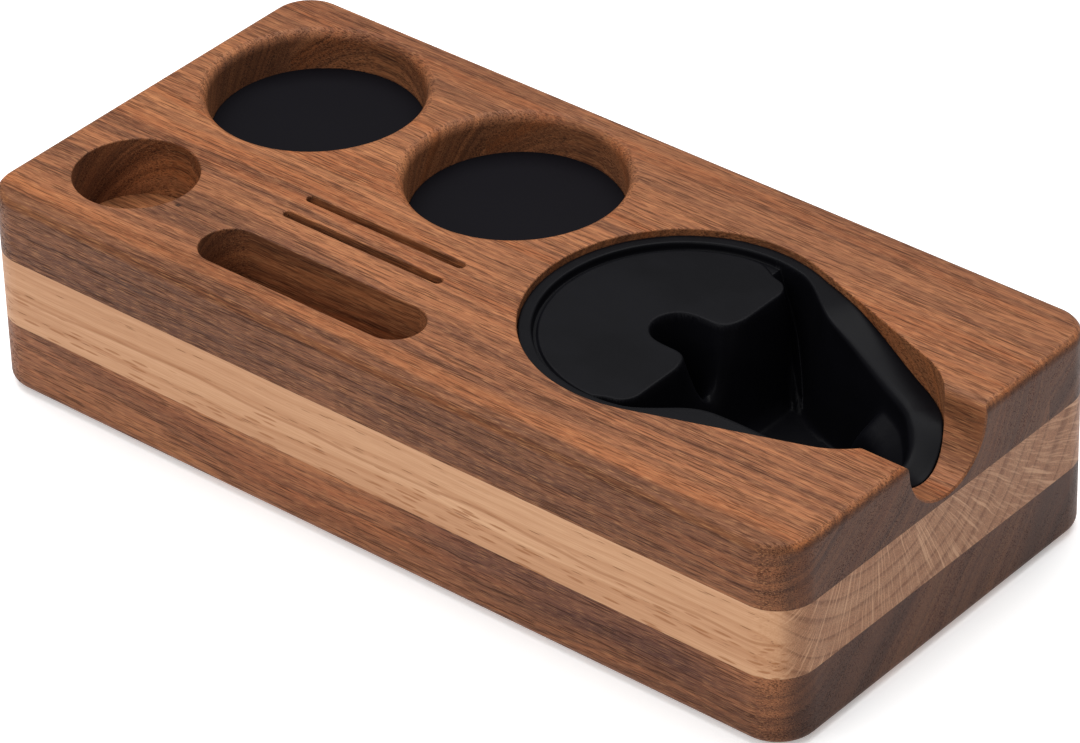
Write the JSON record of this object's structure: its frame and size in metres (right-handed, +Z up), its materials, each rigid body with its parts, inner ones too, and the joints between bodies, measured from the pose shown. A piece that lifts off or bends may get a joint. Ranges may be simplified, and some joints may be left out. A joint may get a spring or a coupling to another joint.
{
  "type": "portafilter bench station",
  "caption": "Laminated hardwood block that holds espresso tools in round wells, slots and a pocket, with a drop-in silicone tray and a handle notch for a portafilter.",
  "frame": {"origin": "middle of the footprint, on the surface the feet stand on", "axes": "+X along the block towards the handle notch, +Y towards the back where the large wells are, +Z up"},
  "size_m": [0.3, 0.144, 0.068],
  "materials": {
    "walnut": "oiled satin, dark brown with fine pores",
    "walnut_strip": "oiled satin, dark brown with fine pores",
    "oak": "oiled satin, pale straw",
    "tray_silicone": "smooth moulded satin black",
    "pad_silicone": "matte black",
    "foot_rubber": "matte black"
  },
  "bodies": {
    "block": {"base_board": "walnut", "middle_board": "oak", "top_board": "walnut", "top_back_strip": "walnut_strip", "foot_front_left": "foot_rubber", "foot_front_right": "foot_rubber", "foot_back_left": "foot_rubber", "foot_back_right": "foot_rubber"},
    "tray": {"portafilter_tray": "tray_silicone"},
    "tamper_pad": {"tamper_pad": "pad_silicone"},
    "distributor_pad": {"distributor_pad": "pad_silicone"}
  },
  "joints": [
    {"name": "tray_lift", "type": "slide", "parent": "block", "child": "tray", "axis": [0, 0, 1], "range_m": [0, 0.05]},
    {"name": "tamper_pad_lift", "type": "slide", "parent": "block", "child": "tamper_pad", "axis": [0, 0, 1], "range_m": [0, 0.025]},
    {"name": "distributor_pad_lift", "type": "slide", "parent": "block", "child": "distributor_pad", "axis": [0, 0, 1], "range_m": [0, 0.025]}
  ]
}
